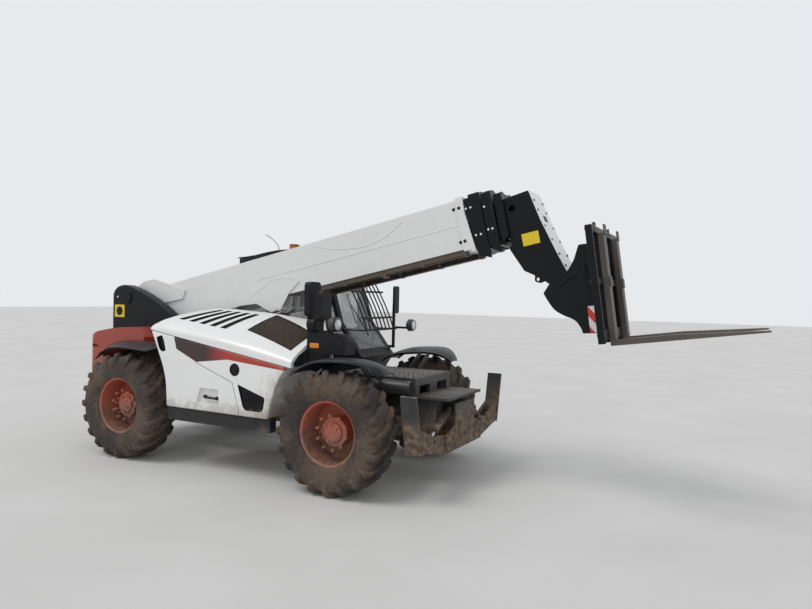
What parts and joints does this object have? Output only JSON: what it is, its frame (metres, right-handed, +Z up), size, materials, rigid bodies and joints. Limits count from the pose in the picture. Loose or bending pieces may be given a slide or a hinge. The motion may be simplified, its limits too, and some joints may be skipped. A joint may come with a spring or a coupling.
{
  "type": "telehandler",
  "caption": "Rough-terrain telehandler with a telescopic boom, pallet forks, side engine pod, open-guarded cab and folded front stabilisers.",
  "frame": {"origin": "on the ground, midway between the counterweight and the fork tips and between the wheels", "axes": "+X forwards to the forks, +Y to the left (cab side), +Z up"},
  "size_m": [7.526, 2.455, 2.9629],
  "materials": {
    "frame_black": "satin",
    "panel_white": "gloss",
    "paint_red": "satin",
    "boom_grey": "satin",
    "rubber": "matte",
    "glass": "gloss",
    "chrome": "polished",
    "seat_fabric": "matte",
    "plastic_dark": "satin",
    "engine_grey": "satin",
    "iron_worn": "rough"
  },
  "bodies": {
    "machine": {"chassis_frame": "frame_black", "rear_uprights": "frame_black", "counterweight": "paint_red", "front_deck": "frame_black", "rear_fenders": "plastic_dark", "front_fenders": "plastic_dark", "engine_pod": "panel_white", "engine_block": "engine_grey", "cab_body": "frame_black", "cab_roof": "plastic_dark", "cab_glass": "glass", "cab_guard": "frame_black", "seat": "seat_fabric", "steering_column": "plastic_dark", "roof_lights": "plastic_dark", "right_mirrors": "plastic_dark", "left_mirror": "plastic_dark", "side_sills": "frame_black", "front_axle": "frame_black", "rear_axle": "frame_black", "stabiliser_beam": "frame_black"},
    "engine_bonnet": {"bonnet": "panel_white"},
    "cab_side_door": {"cab_door": "panel_white"},
    "steer_front_left": {"front_left_knuckle": "frame_black"},
    "wheel_front_left": {"front_left_rim": "paint_red", "front_left_tyre": "rubber"},
    "steer_front_right": {"front_right_knuckle": "frame_black"},
    "wheel_front_right": {"front_right_rim": "paint_red", "front_right_tyre": "rubber"},
    "steer_rear_left": {"rear_left_knuckle": "frame_black"},
    "wheel_rear_left": {"rear_left_rim": "paint_red", "rear_left_tyre": "rubber"},
    "steer_rear_right": {"rear_right_knuckle": "frame_black"},
    "wheel_rear_right": {"rear_right_rim": "paint_red", "rear_right_tyre": "rubber"},
    "boom": {"boom_outer": "boom_grey"},
    "boom_second": {"boom_stage_2": "frame_black"},
    "boom_third": {"boom_stage_3": "frame_black"},
    "boom_fourth": {"boom_stage_4": "frame_black", "boom_head": "frame_black"},
    "carriage": {"tool_carrier": "frame_black", "fork_frame": "frame_black", "fork_left": "iron_worn", "fork_right": "iron_worn"},
    "lift_cylinder": {"lift_barrel": "frame_black"},
    "lift_piston": {"lift_rod": "chrome"},
    "stabiliser_left": {"stabiliser_leg_left": "frame_black"},
    "stabiliser_cylinder_left": {"stabiliser_barrel_left": "frame_black"},
    "stabiliser_piston_left": {"stabiliser_rod_left": "chrome"},
    "stabiliser_right": {"stabiliser_leg_right": "frame_black"},
    "stabiliser_cylinder_right": {"stabiliser_barrel_right": "frame_black"},
    "stabiliser_piston_right": {"stabiliser_rod_right": "chrome"}
  },
  "joints": [
    {"name": "bonnet_hinge", "type": "hinge", "parent": "machine", "child": "engine_bonnet", "pos_m": [-1.32301, -0.38, 1.73], "axis": [-1, 0, 0], "range_deg": [0, 55]},
    {"name": "cab_door_hinge", "type": "hinge", "parent": "machine", "child": "cab_side_door", "pos_m": [-1.66801, 1.1323, 1.4], "axis": [0, 0, 1], "range_deg": [0, 95]},
    {"name": "steering_front_left", "type": "hinge", "parent": "machine", "child": "steer_front_left", "pos_m": [0.10199, 0.78, 0.6], "axis": [0, 0, 1], "range_deg": [-32, 32]},
    {"name": "rolling_front_left", "type": "hinge", "parent": "steer_front_left", "child": "wheel_front_left", "pos_m": [0.10199, 1.01, 0.6], "axis": [0, 1, 0], "continuous": true},
    {"name": "steering_front_right", "type": "hinge", "parent": "machine", "child": "steer_front_right", "pos_m": [0.10199, -0.78, 0.6], "axis": [0, 0, 1], "range_deg": [-32, 32]},
    {"name": "rolling_front_right", "type": "hinge", "parent": "steer_front_right", "child": "wheel_front_right", "pos_m": [0.10199, -1.01, 0.6], "axis": [0, 1, 0], "continuous": true},
    {"name": "steering_rear_left", "type": "hinge", "parent": "machine", "child": "steer_rear_left", "pos_m": [-2.74801, 0.78, 0.6], "axis": [0, 0, 1], "range_deg": [-32, 32]},
    {"name": "rolling_rear_left", "type": "hinge", "parent": "steer_rear_left", "child": "wheel_rear_left", "pos_m": [-2.74801, 1.01, 0.6], "axis": [0, 1, 0], "continuous": true},
    {"name": "steering_rear_right", "type": "hinge", "parent": "machine", "child": "steer_rear_right", "pos_m": [-2.74801, -0.78, 0.6], "axis": [0, 0, 1], "range_deg": [-32, 32]},
    {"name": "rolling_rear_right", "type": "hinge", "parent": "steer_rear_right", "child": "wheel_rear_right", "pos_m": [-2.74801, -1.01, 0.6], "axis": [0, 1, 0], "continuous": true},
    {"name": "boom_lift", "type": "hinge", "parent": "machine", "child": "boom", "pos_m": [-3.47301, 0, 1.82], "axis": [0, -1, 0], "range_deg": [-10, 50]},
    {"name": "boom_extend_2", "type": "slide", "parent": "boom", "child": "boom_second", "axis": [0.9759, 0, 0.2181], "range_m": [0, 3.7]},
    {"name": "boom_extend_3", "type": "slide", "parent": "boom_second", "child": "boom_third", "axis": [0.9759, 0, 0.2181], "range_m": [0, 3.7]},
    {"name": "boom_extend_4", "type": "slide", "parent": "boom_third", "child": "boom_fourth", "axis": [0.9759, 0, 0.2181], "range_m": [0, 3.7]},
    {"name": "carriage_tilt", "type": "hinge", "parent": "boom_fourth", "child": "carriage", "pos_m": [2.04143, 0, 2.11504], "axis": [0, -1, 0], "range_deg": [-100, 12]},
    {"name": "lift_cylinder_swing", "type": "hinge", "parent": "machine", "child": "lift_cylinder", "pos_m": [-3.12301, 0, 0.9], "axis": [0, -1, 0], "range_deg": [-9.6, 44]},
    {"name": "lift_cylinder_stroke", "type": "slide", "parent": "lift_cylinder", "child": "lift_piston", "axis": [0.9131, 0, 0.4076], "range_m": [-0.1653, 0.7867]},
    {"name": "stabiliser_fold_left", "type": "hinge", "parent": "machine", "child": "stabiliser_left", "pos_m": [0.93699, 0.4, 0.48], "axis": [-1, 0, 0], "range_deg": [0, 70]},
    {"name": "stabiliser_cylinder_swing_left", "type": "hinge", "parent": "machine", "child": "stabiliser_cylinder_left", "pos_m": [0.93699, 0.19, 0.8], "axis": [-1, 0, 0], "range_deg": [-1, 31.66]},
    {"name": "stabiliser_stroke_left", "type": "slide", "parent": "stabiliser_cylinder_left", "child": "stabiliser_piston_left", "axis": [0, 0.8979, -0.4402], "range_m": [-0.005, 0.1272]},
    {"name": "stabiliser_fold_right", "type": "hinge", "parent": "machine", "child": "stabiliser_right", "pos_m": [0.93699, -0.4, 0.48], "axis": [1, 0, 0], "range_deg": [0, 70]},
    {"name": "stabiliser_cylinder_swing_right", "type": "hinge", "parent": "machine", "child": "stabiliser_cylinder_right", "pos_m": [0.93699, -0.19, 0.8], "axis": [1, 0, 0], "range_deg": [-1, 31.66]},
    {"name": "stabiliser_stroke_right", "type": "slide", "parent": "stabiliser_cylinder_right", "child": "stabiliser_piston_right", "axis": [0, -0.8979, -0.4402], "range_m": [-0.005, 0.1272]}
  ],
  "couplings": [
    {"joint": "steering_front_right", "follows": "steering_front_left", "ratio": 1},
    {"joint": "steering_rear_left", "follows": "steering_front_left", "ratio": -1},
    {"joint": "steering_rear_right", "follows": "steering_front_left", "ratio": -1},
    {"joint": "boom_extend_3", "follows": "boom_extend_2", "ratio": 1},
    {"joint": "boom_extend_4", "follows": "boom_extend_2", "ratio": 1},
    {"joint": "lift_cylinder_swing", "follows": "boom_lift", "ratio": 0.86},
    {"joint": "lift_cylinder_stroke", "follows": "boom_lift", "m_per_rad": 0.89},
    {"joint": "stabiliser_cylinder_swing_left", "follows": "stabiliser_fold_left", "ratio": 0.438},
    {"joint": "stabiliser_stroke_left", "follows": "stabiliser_fold_left", "m_per_rad": 0.1},
    {"joint": "stabiliser_cylinder_swing_right", "follows": "stabiliser_fold_right", "ratio": 0.438},
    {"joint": "stabiliser_stroke_right", "follows": "stabiliser_fold_right", "m_per_rad": 0.1}
  ]
}
